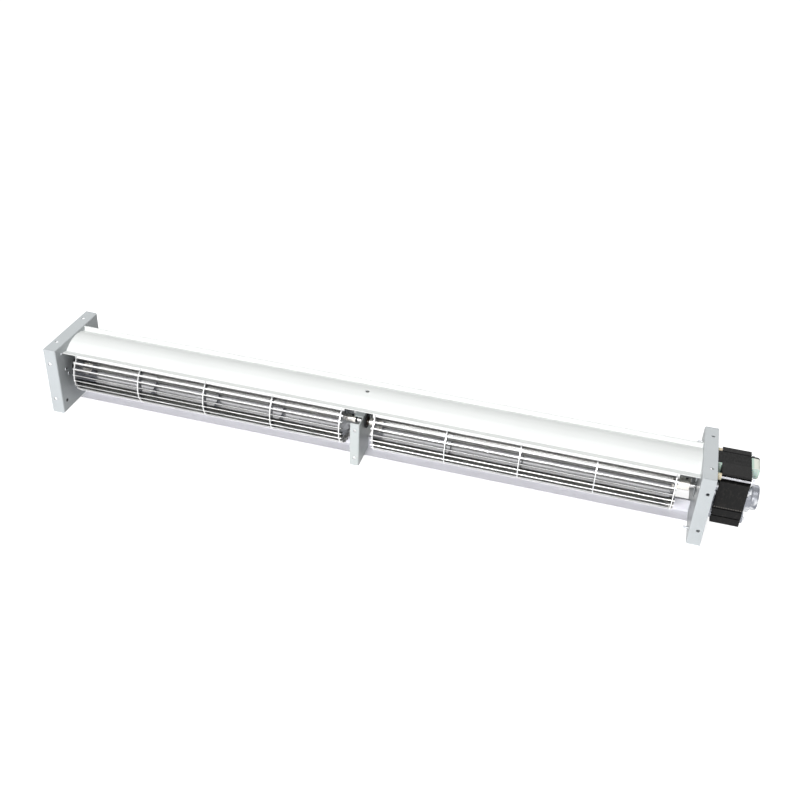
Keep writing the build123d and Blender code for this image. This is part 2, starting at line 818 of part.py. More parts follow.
end_shaft_start = left_bush_x - bush_length / 2
end_shaft = ring(
    end_shaft_start, shaft_end(left_wheel_x, -1) - end_shaft_start, end_shaft_d, 0
)
save(end_shaft, "end_shaft")
centre_shaft_start = shaft_end(left_wheel_end_x, 1)
centre_shaft = ring(
    centre_shaft_start, shaft_end(right_wheel_x, -1) - centre_shaft_start, centre_shaft_d, 0
)
save(centre_shaft, "centre_shaft")
centre_washer = ring(
    hub_end(left_wheel_end_x, 1, centre_hub_length),
    washer_sheet,
    washer_d,
    centre_shaft_d + 2 * touch,
)
save(centre_washer, "centre_washer")

# --- Motor ------------------------------------------------------------------------------------------

lobe_points = [(y * lobe_pitch, z * lobe_pitch) for y in (-1, 1) for z in (-1, 1)]
lobe_radius = lobe_pitch * sqrt(2)
shading_r = stator_bore_d / 2 + shading_wall + shading_wire_d / 2 + touch
shading_angles = [
    opposite + shading_middle + side * shading_span / 2 for opposite in (0, 180) for side in (-1, 1)
]
motor_bush_d = motor_shaft_d + 2 * (running + bush_wall)
bar_ease = bobbin_ease + bobbin_wall
coil_top = wound_bar[1] + bar_ease + coil_depth
coil_bottom = wound_bar[0] - bar_ease - coil_depth
coil_middle_z = (wound_bar[0] + wound_bar[1]) / 2
bar_height = wound_bar[1] - wound_bar[0]

# Lamination stack: rotor bore below, a coil window and a notch that leave the wound bar above
with BuildPart() as stator_stack:
    with BuildSketch(across(stack_x)):
        with Locations((0, (stack_above_axis - stack_below_axis) / 2)):
            RectangleRounded(stack_width, stack_above_axis + stack_below_axis, stack_corner)
        Circle(stator_bore_d / 2, mode=Mode.SUBTRACT)
        with Locations((window_y[0], window_floor)):
            Rectangle(
                window_y[1] - window_y[0],
                wound_bar[0] - window_floor,
                align=Align.MIN,
                mode=Mode.SUBTRACT,
            )
        with Locations((window_y[0], wound_bar[1])):
            Rectangle(
                window_y[1] - window_y[0],
                stack_above_axis - wound_bar[1],
                align=Align.MIN,
                mode=Mode.SUBTRACT,
            )
        with Locations(*mount_bolt_points()):
            Rectangle(bolt_groove, bolt_groove_height, mode=Mode.SUBTRACT)
        with Locations(*((side * stack_width / 2, z) for side in (-1, 1) for z in stack_grooves)):
            Rectangle(2 * stack_groove_depth, stack_groove, mode=Mode.SUBTRACT)
        with Locations(*lobe_points):
            Circle(screw_d / 2, mode=Mode.SUBTRACT)
        with Locations(*(around(shading_r, angle) for angle in shading_angles)):
            Circle(shading_wire_d / 2 + touch, mode=Mode.SUBTRACT)
    extrude(amount=stack_thickness)
save(stator_stack, "stator_stack")

# Shading rings: closed copper loops round one edge of each pole
with BuildPart() as shading_rings:
    ring_start = stack_x - touch - shading_wire_d / 2
    ring_length = stack_thickness + 2 * touch + shading_wire_d
    with BuildSketch(across(ring_start)):
        with Locations(*(around(shading_r, angle) for angle in shading_angles)):
            Circle(shading_wire_d / 2)
    extrude(amount=ring_length)
    for x in (ring_start, ring_start + ring_length):
        for angle in shading_angles:
            corner = around(shading_r, angle)
            with Locations((x, axis_y + corner.X, axis_height + corner.Y)):
                Sphere(shading_wire_d / 2)
        for first_angle in shading_angles[::2]:
            corner = around(shading_r, first_angle)
            start = (x, axis_y + corner.X, axis_height + corner.Y)
            with BuildSketch(Plane(start, (1, 0, 0), (0, -corner.Y, corner.X))):
                Circle(shading_wire_d / 2)
            revolve(
                axis=Axis((x, axis_y, axis_height), (1, 0, 0)), revolution_arc=shading_span
            )
save(shading_rings, "shading_rings")

# Coil: bobbin round the bar, the winding on it and the sheet that covers the top
stack_middle_x = stack_x + stack_thickness / 2
bobbin_start = axis_y + window_y[0] + bobbin_ease
bobbin_length = window_y[1] - window_y[0] - 2 * bobbin_ease
coil_front = Plane((stack_middle_x, bobbin_start, axis_height), (1, 0, 0), (0, -1, 0))
coil_width = stack_thickness + 2 * (bar_ease + coil_side_depth)
coil_height = coil_top - coil_bottom
with BuildPart() as coil_bobbin:
    with BuildSketch(coil_front):
        with Locations((0, coil_middle_z)):
            Rectangle(stack_thickness + 2 * bar_ease, bar_height + 2 * bar_ease)
    extrude(amount=-bobbin_length)
    for y in (bobbin_start, bobbin_start + bobbin_length - bobbin_flange):
        with BuildSketch(Plane((stack_middle_x, y, axis_height), (1, 0, 0), (0, -1, 0))):
            with Locations((0, coil_middle_z)):
                RectangleRounded(coil_width, coil_height, coil_corner)
        extrude(amount=-bobbin_flange)
    with BuildSketch(coil_front):
        with Locations((0, coil_middle_z)):
            Rectangle(stack_thickness + 2 * bobbin_ease, bar_height + 2 * bobbin_ease)
    extrude(amount=-bobbin_length, mode=Mode.SUBTRACT)
save(coil_bobbin, "coil_bobbin")

with BuildPart() as coil_winding:
    with BuildSketch(coil_front):
        with Locations((0, coil_middle_z)):
            RectangleRounded(coil_width, coil_height, coil_corner)
            Rectangle(
                stack_thickness + 2 * (bar_ease + touch),
                bar_height + 2 * (bar_ease + touch),
                mode=Mode.SUBTRACT,
            )
    extrude(amount=-bobbin_length)
    with Locations((stack_middle_x, bobbin_start, axis_height + coil_middle_z)):
        Box(coil_width + over_cut, 2 * (bobbin_flange + touch), coil_height + over_cut, mode=Mode.SUBTRACT)
    with Locations((stack_middle_x, bobbin_start + bobbin_length, axis_height + coil_middle_z)):
        Box(coil_width + over_cut, 2 * (bobbin_flange + touch), coil_height + over_cut, mode=Mode.SUBTRACT)
save(coil_winding, "coil_winding")

cover_section = folded_sheet(
    (-coil_width / 2 - touch - cover_sheet, coil_top - coil_corner),
    90,
    [
        (coil_corner + touch, -90),
        coil_width - 2 * coil_corner,
        (coil_corner + touch, -90),
        cover_drop,
    ],
    cover_sheet,
)
with BuildPart() as coil_cover:
    with BuildSketch(coil_front):
        add(cover_section)
    extrude(amount=-bobbin_length)
save(coil_cover, "coil_cover")

# Blade terminals on the rear flange of the bobbin, beside the stack
terminal_x = stack_middle_x + (stack_thickness + coil_width) / 4
with BuildPart() as coil_terminals:
    terminal_y = bobbin_start + bobbin_length
    with BuildSketch(Plane((terminal_x, terminal_y, axis_height), (1, 0, 0), (0, -1, 0))):
        with Locations((0, terminal_z)):
            with GridLocations(terminal_pitch, 0, 2, 1):
                Rectangle(terminal_width, terminal_sheet)
    extrude(amount=-terminal_length)
    tips = coil_terminals.edges().group_by(Axis.Y)[-1].filter_by(Axis.Z)
    chamfer(tips, terminal_chamfer)
save(coil_terminals, "coil_terminals")


def bearing_bracket(stack_face_x, side):
    """Die-cast bracket on one face of the stack: lobed flange, cup and boss; side points outwards."""
    cup_end = stack_face_x + side * cup_length
    boss_end = cup_end + side * boss_length
    with BuildPart() as piece:
        with BuildSketch(across(stack_face_x)):
            Circle(cup_r)
            for angle in (lobe_angle, -lobe_angle):
                SlotCenterToCenter(2 * lobe_radius, 2 * lobe_r, rotation=angle)
        extrude(amount=side * lobe_plate)
        with BuildSketch(across(stack_face_x)):
            Circle(cup_r)
        extrude(amount=side * cup_length)
        with BuildSketch(across(cup_end)):
            Circle(boss_r)
        extrude(amount=side * boss_length)
        boss_rim = piece.edges().group_by(Axis.X)[-1 if side > 0 else 0]
        cup_rim = piece.edges().filter_by_position(Axis.X, cup_end - 0.01, cup_end + 0.01)
        fillet(boss_rim + cup_rim.sort_by(SortBy.RADIUS)[-1:], boss_edge)
        # Inside: room for the rotor, the bush's seat and the way out for the shaft
        with BuildSketch(across(stack_face_x)):
            Circle(cup_r - cup_wall)
        extrude(amount=side * (cup_length - cup_wall), mode=Mode.SUBTRACT)
        with BuildSketch(across(stack_face_x)):
            Circle(motor_bush_d / 2 + touch)
        extrude(amount=side * (cup_length + boss_length - boss_cap), mode=Mode.SUBTRACT)
        with BuildSketch(across(stack_face_x)):
            Circle(motor_shaft_d / 2 + boss_ease)
        extrude(amount=side * (cup_length + boss_length), mode=Mode.SUBTRACT)
        with BuildSketch(across(stack_face_x)):
            with Locations(*lobe_points):
                Circle(screw_d / 2)
        extrude(amount=side * lobe_plate, mode=Mode.SUBTRACT)
    return piece


inner_bearing_bracket = bearing_bracket(stack_x, -1)
save(inner_bearing_bracket, "inner_bearing_bracket")
outer_bearing_bracket = bearing_bracket(stack_end_x, 1)
save(outer_bearing_bracket, "outer_bearing_bracket")

bush_from_stack = cup_length + boss_length - boss_cap - motor_bush_length / 2
inner_motor_bush = bush(
    stack_x - bush_from_stack, motor_bush_length, motor_shaft_d + 2 * running, motor_bush_d
)
save(inner_motor_bush, "inner_motor_bush")
outer_motor_bush = bush(
    stack_end_x + bush_from_stack, motor_bush_length, motor_shaft_d + 2 * running, motor_bush_d
)
save(outer_motor_bush, "outer_motor_bush")

with BuildPart() as bracket_screws:
    screw_start = stack_x - lobe_plate
    screw_end = stack_end_x + lobe_plate
    with BuildSketch(across(screw_start)):
        with Locations(*lobe_points):
            Circle(screw_d / 2 - touch)
    extrude(amount=screw_end - screw_start)
    with BuildSketch(across(screw_end)):
        with Locations(*lobe_points):
            Circle(screw_head_d / 2)
    extrude(amount=screw_head)
    fillet(bracket_screws.edges().group_by(Axis.X)[-1], screw_head * head_rounding)
save(bracket_screws, "bracket_screws")

# Mounting: bolts along the grooves of the stack into the end plate's tapped holes, washers and spacers
with BuildPart() as mount_bolts:
    bolt_start = web_x
    bolt_end = stack_end_x + mount_washer_sheet
    with BuildSketch(across(bolt_start)):
        with Locations(*mount_bolt_points()):
            Circle(mount_bolt_d / 2)
    extrude(amount=bolt_end - bolt_start)
    with BuildSketch(across(bolt_end)):
        with Locations(*mount_bolt_points()):
            RegularPolygon(mount_head_d / 2, 6)
    extrude(amount=mount_head)
save(mount_bolts, "mount_bolts")

with BuildPart() as mount_washers:
    with BuildSketch(across(stack_end_x)):
        with Locations(*mount_bolt_points()):
            Circle(mount_washer_d / 2)
            Circle(mount_bolt_d / 2 + touch, mode=Mode.SUBTRACT)
    extrude(amount=mount_washer_sheet)
save(mount_washers, "mount_washers")

with BuildPart() as stand_offs:
    with BuildSketch(across(web_x + plate_sheet)):
        with Locations(*mount_bolt_points()):
            Circle(stand_off_d / 2)
            Circle(mount_bolt_d / 2 + touch, mode=Mode.SUBTRACT)
    extrude(amount=motor_stand_off)
save(stand_offs, "stand_offs")

# Rotating parts of the motor
shaft_start = shaft_end(right_wheel_end_x, 1)
motor_shaft = ring(
    shaft_start, stack_end_x + cup_length + boss_length - shaft_start, motor_shaft_d, 0
)
save(motor_shaft, "motor_shaft")
rotor_core = ring(
    stack_x - rotor_core_extra,
    stack_thickness + 2 * rotor_core_extra,
    stator_bore_d - 2 * air_gap,
    motor_shaft_d + 2 * touch,
)
save(rotor_core, "rotor_core")
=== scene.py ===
"""Looks of a cross flow fan: paint, metals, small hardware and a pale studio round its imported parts."""

import json
from math import pi, radians, tau

import bpy
from bpy.props import FloatProperty, FloatVectorProperty, PointerProperty
from mathutils import Matrix, Vector


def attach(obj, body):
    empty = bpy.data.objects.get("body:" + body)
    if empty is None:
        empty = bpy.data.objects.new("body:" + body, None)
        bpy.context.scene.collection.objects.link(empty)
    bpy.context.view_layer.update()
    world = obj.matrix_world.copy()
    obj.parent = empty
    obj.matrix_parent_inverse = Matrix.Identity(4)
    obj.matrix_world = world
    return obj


bl_info = {
    "name": "Cross Flow Fan Looks",
    "version": (1, 0, 0),
    "blender": (4, 5, 0),
    "location": "3D View > Sidebar > Fan",
    "description": "Finishes, threads, laminations and a studio for a cross flow fan",
    "category": "Object",
}

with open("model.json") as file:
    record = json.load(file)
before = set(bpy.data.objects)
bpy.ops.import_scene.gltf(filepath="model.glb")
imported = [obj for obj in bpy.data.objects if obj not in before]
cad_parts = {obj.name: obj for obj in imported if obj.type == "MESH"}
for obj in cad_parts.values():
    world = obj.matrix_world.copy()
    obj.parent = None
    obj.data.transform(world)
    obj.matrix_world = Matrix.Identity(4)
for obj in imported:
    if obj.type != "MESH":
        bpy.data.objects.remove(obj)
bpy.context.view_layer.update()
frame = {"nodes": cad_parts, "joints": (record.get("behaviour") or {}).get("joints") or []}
spin = frame["joints"][0]
axis = Vector(spin["pos_m"])
nodes = frame["nodes"]

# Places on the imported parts, in metres
web_x = 0.392  # inner faces of the end plates
low_screw = (-0.0444, 0.0148)
high_screw = (0.0307, 0.0831)
lip_screw = (-0.0414, 0.0820)
screw_tip_x = 0.3865
blade_root_r, blade_edge_r = 0.0250, 0.0300
disc_face_r, disc_rim_r = 0.0290, 0.0312
stack_end_x = 0.4448
coil_seam_x = 0.4468
inner_coil_x = 0.4120
cover_edge_y = 0.0044
punch_row_z = 0.0466
punch_pitch = 0.0026

# --- Settings ---------------------------------------------------------------------------------------


def length(name, description, default):
    return FloatProperty(name=name, description=description, default=default, unit="LENGTH")


def factor(name, description, default):
    return FloatProperty(
        name=name, description=description, default=default, min=0.0, max=1.0, subtype="FACTOR"
    )


def colour(name, description, default):
    return FloatVectorProperty(
        name=name, description=description, default=default, min=0.0, max=1.0, subtype="COLOR"
    )


def power(name, description, default):
    return FloatProperty(name=name, description=description, default=default, unit="POWER")


def angle(name, description, degrees):
    return FloatProperty(
        name=name, description=description, default=radians(degrees), subtype="ANGLE"
    )


class FanPaintSettings(bpy.types.PropertyGroup):
    """Colours of the painted sheets and of the plastics."""

    plate: colour("End plates", "Pale grey paint of the end plates", (0.63, 0.665, 0.675))
    shell: colour("Casing", "White paint of the casing sheets", (0.90, 0.92, 0.902))
    tongue: colour("Tongue", "White paint of the lower sheet", (0.95, 0.945, 0.985))
    bracket: colour("Centre bracket", "Paint of the centre bracket", (0.67, 0.71, 0.70))
    gloss: factor("Paint roughness", "Roughness of the painted sheets", 0.34)
    stack: colour("Laminations", "Black varnish of the lamination stack", (0.009, 0.009, 0.009))
    bobbin: colour("Bobbin", "Moulded bobbin of the coil", (0.62, 0.76, 0.68))
    tape: colour("Coil tape", "Tape wound round the coil", (0.90, 0.92, 0.82))
    spacer: colour("Spacers", "Spacers between the end plate and the motor", (0.72, 0.64, 0.46))
    rubber: colour("Rubber", "Rubber of the bearing seats", (0.014, 0.014, 0.015))


class FanMetalSettings(bpy.types.PropertyGroup):
    """Colours of the bare metals."""

    aluminium: colour("Impellers", "Mill-finished aluminium", (0.96, 0.96, 0.955))
    steel: colour("Turned steel", "Hubs and shafts", (0.90, 0.87, 0.81))
    zinc: colour("Zinc plate", "Plated screws and plates", (0.74, 0.75, 0.76))
    bolt: colour("Motor bolts", "Dull zinc of the long motor bolts", (0.46, 0.46, 0.48))
    cast: colour("Die casting", "Bearing brackets of the motor", (0.27, 0.28, 0.31))
    bronze: colour("Bronze", "Sintered bushes", (0.06, 0.048, 0.036))
    copper: colour("Copper", "Shading rings", (0.85, 0.42, 0.24))


class FanDetailSettings(bpy.types.PropertyGroup):
    """Sizes of the small hardware."""

    thread_pitch: length("Thread pitch", "Pitch of the screw threads", 0.0006)
    thread_depth: length("Thread depth", "Height of a thread over its screw", 0.00018)
    lamination: length("Lamination", "Thickness of one lamination", 0.0005)


class FanStageSettings(bpy.types.PropertyGroup):
    """Camera, floor and lamps."""

    camera_place: FloatVectorProperty(
        name="Camera", description="Place of the camera", default=(0.28385, -0.99169, 0.76362),
        unit="LENGTH",
    )
    pan: angle("Pan", "Turn of the camera to the left", 13.96)
    tilt: angle("Tilt", "Angle of the view from straight down", 56.30)
    roll: angle("Roll", "Roll of the camera", 3.01)
    lens: FloatProperty(name="Lens", description="Focal length", default=46.04, unit="CAMERA")
    floor: colour("Floor", "Colour of the floor", (0.62, 0.62, 0.625))
    floor_lift: factor("Floor lift", "Whiteness added to the floor", 0.85)
    floor_size: length("Floor size", "Width of the floor", 14.0)
    key: power("Key light", "Power of the lamp above", 22.0)
    fill: power("Front light", "Power of the lamp in front", 48.0)
    rear: power("Rear light", "Power of the lamp behind", 4.0)
    sky: FloatProperty(name="Sky", description="Strength of the surrounding light", default=0.26)


def settings(name):
    return getattr(bpy.context.scene, "fan_" + name)


# --- Material helpers -------------------------------------------------------------------------------


class Shader:
    """A principled material with a few helpers for its nodes."""

    def __init__(self, name, base, metallic=0.0, roughness=0.5):
        self.material = bpy.data.materials.new(name)
        self.material.use_nodes = True
        self.tree = self.material.node_tree
        self.surface = self.tree.nodes["Principled BSDF"]
        self.surface.inputs["Base Color"].default_value = (*base, 1.0)
        self.surface.inputs["Metallic"].default_value = metallic
        self.surface.inputs["Roughness"].default_value = roughness
        self.base = base
        self.roughness = roughness
        self.place = self.tree.nodes.new("ShaderNodeTexCoord").outputs["Object"]

    def node(self, kind, **inputs):
        """A new node with its inputs set by name; a socket given as a value is linked."""
        made = self.tree.nodes.new(kind)
        for key, value in inputs.items():
            socket = made.inputs[key.replace("_", " ")]
            if isinstance(value, bpy.types.NodeSocket):
                self.tree.links.new(value, socket)
            else:
                socket.default_value = value
        return made

    def stretched(self, scale):
        """Object coordinates scaled along each axis."""
        return self.node("ShaderNodeMapping", Vector=self.place, Scale=scale).outputs[0]

    def noise(self, scale, detail=3.0, roughness=0.55):
        """Noise with its own scale along each axis, in features per metre."""
        made = self.node(
            "ShaderNodeTexNoise",
            Vector=self.stretched(scale),
            Scale=1.0,
            Detail=detail,
            Roughness=roughness,
        )
        return made.outputs["Fac"]

    def place_part(self, axis_name):
        """One of the object coordinates."""
        return self.node("ShaderNodeSeparateXYZ", Vector=self.place).outputs[axis_name]

    def facing(self, axis_name):
        """How squarely the surface faces along one axis."""
        normal = self.tree.nodes.new("ShaderNodeTexCoord").outputs["Normal"]
        split = self.node("ShaderNodeSeparateXYZ", Vector=normal)
        return self.math("ABSOLUTE", split.outputs[axis_name], 0.0)

    def off_axis(self):
        """Distance from the rotor line."""
        shifted = self.node("ShaderNodeVectorMath", Vector=self.place)
        shifted.operation = "SUBTRACT"
        shifted.inputs[1].default_value = axis
        flat = self.node("ShaderNodeVectorMath", Vector=shifted.outputs[0])
        flat.operation = "MULTIPLY"
        flat.inputs[1].default_value = (0.0, 1.0, 1.0)
        reach = self.node("ShaderNodeVectorMath", Vector=flat.outputs[0])
        reach.operation = "LENGTH"
        return reach.outputs["Value"]

    def band(self, value, low, high, low_out=0.0, high_out=1.0):
        """A value carried from one range to another, with smooth ends."""
        made = self.node("ShaderNodeMapRange", Value=value)
        made.interpolation_type = "SMOOTHSTEP"
        made.inputs["From Min"].default_value = low
        made.inputs["From Max"].default_value = high
        made.inputs["To Min"].default_value = low_out
        made.inputs["To Max"].default_value = high_out
        return made.outputs["Result"]

    def math(self, operation, first, second):
        made = self.tree.nodes.new("ShaderNodeMath")
        made.operation = operation
        for socket, value in zip(made.inputs, (first, second)):
            if isinstance(value, bpy.types.NodeSocket):
                self.tree.links.new(value, socket)
            else:
                socket.default_value = value
        return made.outputs[0]

    def tint(self, amount, other):
        """Mixes the base colour towards another colour by an amount socket."""
        current = self.surface.inputs["Base Color"]
        mix = self.tree.nodes.new("ShaderNodeMix")
        mix.data_type = "RGBA"
        first, second = (socket for socket in mix.inputs if socket.type == "RGBA")
        if current.is_linked:
            self.tree.links.new(current.links[0].from_socket, first)
        else:
            first.default_value = current.default_value
        second.default_value = (*other, 1.0)
        self.tree.links.new(amount, mix.inputs["Factor"])
        self.tree.links.new([s for s in mix.outputs if s.type == "RGBA"][0], current)

    def rough(self, value, low, high):
        """Roughness that follows a value between two levels."""
        self.tree.links.new(
            self.band(value, 0.3, 0.7, low, high), self.surface.inputs["Roughness"]
        )

    def bump(self, height, distance, strength=1.0):
        """Adds a relief; later calls lie on top of earlier ones."""
        made = self.node("ShaderNodeBump", Height=height, Distance=distance, Strength=strength)
        normal = self.surface.inputs["Normal"]
        if normal.is_linked:
            self.tree.links.new(normal.links[0].from_socket, made.inputs["Normal"])
        self.tree.links.new(made.outputs[0], normal)


def dress(node, material):
    """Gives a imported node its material."""
    mesh = nodes[node].data
    mesh.materials.clear()
    mesh.materials.append(material)


# --- Finishes ---------------------------------------------------------------------------------------


def painted(name, base):
    """Stoved paint on sheet: a fine orange peel, the faintest uneven tone, and painted shade that darkens
    the faces turned along X, such as the webs.
    """
    paint = Shader(name, base, roughness=settings("paint").gloss)
    paint.surface.inputs["Specular IOR Level"].default_value = 0.2
    tone = paint.noise((9.0, 22.0, 22.0), detail=4.0)
    paint.tint(paint.band(tone, 0.35, 0.7, 0.0, 0.55), tuple(0.94 * value for value in base))
    # Painted shade: faces turned along X, such as the webs, are darkened.
    painted_web_shade = paint.band(paint.facing("X"), 0.6, 0.95, 0.0, 0.8)
    paint.tint(painted_web_shade, tuple(0.62 * value for value in base))
    peel = paint.noise((900.0, 900.0, 900.0), detail=2.0)
    paint.rough(tone, settings("paint").gloss - 0.05, settings("paint").gloss + 0.07)
    paint.bump(peel, 0.00004, 0.35)
    return paint.material


def rolled_aluminium(name):
    """Mill-finished strip with the streaks of the rolls running along the blades, and painted shade that
    darkens the blades towards the rotor line.
    """
    metal = Shader(name, settings("metal").aluminium, metallic=1.0, roughness=0.24)
    metal.surface.inputs["Anisotropic"].default_value = 0.35
    streaks = metal.noise((6.0, 2600.0, 2600.0), detail=4.0, roughness=0.7)
    cloud = metal.noise((30.0, 60.0, 60.0), detail=3.0)
    metal.tint(metal.band(streaks, 0.35, 0.75, 0.0, 0.35), (0.78, 0.78, 0.78))
    # Painted shade: the blades darken towards their inner edge.
    painted_root_shade = metal.band(metal.off_axis(), blade_root_r, blade_edge_r, 0.9, 0.0)
    metal.tint(painted_root_shade, (0.27, 0.265, 0.255))
    mixed = metal.math(
        "ADD", metal.math("MULTIPLY", streaks, 0.6), metal.math("MULTIPLY", cloud, 0.4)
    )
    metal.rough(mixed, 0.17, 0.40)
    metal.bump(streaks, 0.00003, 0.5)
    return metal.material


def stamped_aluminium(name):
    """Disc metal: the same strip, seen across its grain, with a faint sheen of burnishing; the face
    inside the rim is darkened as painted shade.
    """
    metal = Shader(name, settings("metal").aluminium, 1.0, 0.3)
    # Painted shade: the disc face inside the rim is darkened, the rim stays bright.
    painted_disc_shade = metal.band(metal.off_axis(), disc_face_r, disc_rim_r, 0.9, 0.0)
    metal.tint(painted_disc_shade, (0.14, 0.15, 0.175))
    streaks = metal.noise((2600.0, 12.0, 1400.0), detail=4.0, roughness=0.7)
    metal.rough(streaks, 0.22, 0.42)
    metal.bump(streaks, 0.00003, 0.5)
    return metal.material


def turned_metal(name, base, low=0.2, high=0.42):
    """Fine lathe rings round the rotor line."""
    metal = Shader(name, base, metallic=1.0, roughness=low)
    rings = metal.noise((5200.0, 40.0, 40.0), detail=3.0, roughness=0.6)
    metal.tint(metal.band(rings, 0.35, 0.75, 0.0, 0.5), tuple(0.78 * value for value in base))
    metal.rough(rings, low, high)
    metal.bump(rings, 0.00003, 0.6)
    return metal.material


def plated(name, base):
    """Bright zinc plate with a cloudy, slightly blue passivation."""
    metal = Shader(name, base, metallic=1.0, roughness=0.25)
    cloud = metal.noise((160.0, 160.0, 160.0), detail=4.0)
    metal.tint(metal.band(cloud, 0.4, 0.7, 0.0, 0.6), (0.60, 0.63, 0.68))
    metal.rough(cloud, 0.16, 0.36)
    return metal.material


def blackened(name):
    """Oil-blackened steel."""
    metal = Shader(name, (0.022, 0.022, 0.024), metallic=0.6, roughness=0.38)
    grain = metal.noise((1500.0, 1500.0, 1500.0), detail=3.0)
    metal.rough(grain, 0.3, 0.5)
    metal.bump(grain, 0.00002, 0.5)
    return metal.material


def moulded_rubber(name):
    """Dull black rubber with a dusty bloom."""
    rubber = Shader(name, settings("paint").rubber, roughness=0.72)
    bloom = rubber.noise((240.0, 240.0, 240.0), detail=5.0)
    rubber.tint(rubber.band(bloom, 0.45, 0.75, 0.0, 0.5), (0.035, 0.035, 0.036))
    rubber.rough(bloom, 0.62, 0.85)
    rubber.bump(rubber.noise((2600.0, 2600.0, 2600.0)), 0.00003, 0.4)
    return rubber.material


def sintered(name):
    """Porous bronze."""
    metal = Shader(name, settings("metal").bronze, metallic=1.0, roughness=0.45)
    pores = metal.noise((4200.0, 4200.0, 4200.0), detail=2.0)
    metal.tint(metal.band(pores, 0.55, 0.7, 0.0, 0.8), (0.16, 0.09, 0.04))
    metal.rough(pores, 0.35, 0.6)
    metal.bump(pores, 0.00003, 0.7)
    return metal.material


def laminated(name):
    """Black varnished stack: the edge of each lamination shows as a fine line."""
    stack = Shader(name, settings("paint").stack, roughness=0.42)
    stack.surface.inputs["Specular IOR Level"].default_value = 0.15
    sheets = stack.node(
        "ShaderNodeTexWave",
        Vector=stack.stretched((1.0, 0.0, 0.0)),
        Scale=1.0 / settings("detail").lamination / 20.0 * tau,
        Distortion=0.6,
        Detail=1.0,
    )
    sheets.bands_direction = "X"
    varnish = stack.noise((420.0, 260.0, 260.0), detail=4.0)
    stack.tint(stack.band(varnish, 0.45, 0.8, 0.0, 0.55), (0.045, 0.042, 0.038))
    height = stack.math("SUBTRACT", stack.place_part("Z"), punch_row_z)
    row = stack.band(stack.math("ABSOLUTE", height, 0.0), 0.0003, 0.0006, 1.0, 0.0)
    dashes = stack.math("SINE", stack.math("MULTIPLY", stack.place_part("X"), tau / punch_pitch), 0.0)
    stack.tint(stack.math("MULTIPLY", row, stack.band(dashes, 0.0, 0.5, 0.0, 0.8)), (0.30, 0.28, 0.25))
    stack.rough(varnish, 0.4, 0.62)
    stack.bump(sheets.outputs["Fac"], 0.00006, 0.6)
    stack.bump(varnish, 0.00006, 0.4)
    return stack.material


def die_cast(name):
    """Die casting with a tight grain; bright and dark patches painted over its dark base stand in for
    reflections as painted reflection.
    """
    metal = Shader(name, settings("metal").cast, metallic=1.0, roughness=0.3)
    grain = metal.noise((700.0, 700.0, 700.0), detail=4.0)
    flow_and_painted_reflection = metal.noise((90.0, 70.0, 70.0), detail=3.0)
    # Painted reflection: the flow noise paints bright patches and a broader noise paints dark ones; the
    # flow noise also drives roughness and relief.
    metal.tint(metal.band(flow_and_painted_reflection, 0.5, 0.64, 0.0, 0.7), (0.80, 0.81, 0.82))
    metal.tint(metal.band(metal.noise((60.0, 150.0, 150.0)), 0.5, 0.66, 0.0, 0.8), (0.16, 0.17, 0.20))
    metal.rough(flow_and_painted_reflection, 0.2, 0.42)
    metal.bump(grain, 0.00006, 0.35)
    metal.bump(flow_and_painted_reflection, 0.0004, 0.3)
    return metal.material


def drawn_copper(name):
    metal = Shader(name, settings("metal").copper, metallic=1.0, roughness=0.3)
    tarnish = metal.noise((300.0, 300.0, 300.0), detail=4.0)
    metal.tint(metal.band(tarnish, 0.45, 0.75, 0.0, 0.7), (0.42, 0.17, 0.09))
    metal.rough(tarnish, 0.22, 0.45)
    return metal.material


def moulded_plastic(name, base, roughness=0.42):
    """Moulded plastic, a little translucent, with a fine mould texture."""
    plastic = Shader(name, base, roughness=roughness)
    plastic.surface.inputs["Subsurface Weight"].default_value = 0.12
    plastic.surface.inputs["Subsurface Scale"].default_value = 0.002
    cloud = plastic.noise((110.0, 110.0, 110.0), detail=3.0)
    plastic.tint(plastic.band(cloud, 0.4, 0.75, 0.0, 0.5), tuple(0.86 * value for value in base))
    plastic.rough(cloud, roughness - 0.07, roughness + 0.1)
    plastic.bump(plastic.noise((2200.0, 2200.0, 2200.0)), 0.00002, 0.4)
    return plastic.material


def wound_tape(name):
    """Glossy tape wrapped round the coil; each turn's edge shows as a slanting step."""
    tape = Shader(name, settings("paint").tape, roughness=0.28)
    turns = tape.node(
        "ShaderNodeTexWave",
        Vector=tape.stretched((0.0, 1.0, 0.12)),
        Scale=48.0,
        Distortion=1.2,
        Detail=2.0,
    )
    turns.wave_profile = "SAW"
    turns.bands_direction = "Y"
    along = tape.place_part("X")
    tape.tint(tape.band(along, coil_seam_x, coil_seam_x + 0.0012, 1.0, 0.0), (0.58, 0.74, 0.64))
    tape.tint(tape.band(along, inner_coil_x, inner_coil_x + 0.003, 1.0, 0.0), (0.40, 0.38, 0.25))
    tape.tint(tape.band(turns.outputs["Fac"], 0.0, 0.25, 0.4, 0.0), (0.46, 0.54, 0.47))
    tape.rough(tape.noise((200.0, 200.0, 200.0)), 0.2, 0.38)
    tape.bump(turns.outputs["Fac"], 0.0002, 0.6)
    return tape.material


def pressed_board(name):
    """Thin board: black over the stack and along its back, pale where it wraps the coil."""
    board = Shader(name, settings("paint").tape, roughness=0.5)
    board.surface.inputs["Specular IOR Level"].default_value = 0.15
    along = board.place_part("X")
    board.tint(board.band(along, coil_seam_x, coil_seam_x + 0.0012, 1.0, 0.0), (0.58, 0.74, 0.64))
    board.tint(board.band(along, stack_end_x, stack_end_x + 0.0004, 1.0, 0.0), (0.008, 0.008, 0.008))
    behind = board.band(board.place_part("Y"), cover_edge_y, cover_edge_y + 0.0012)
    board.tint(behind, (0.012, 0.012, 0.012))
    fibre = board.noise((700.0, 240.0, 700.0), detail=4.0)
    board.rough(fibre, 0.45, 0.68)
    board.bump(fibre, 0.00005, 0.5)
    return board.material


# --- Geometry Nodes helpers -------------------------------------------------------------------------


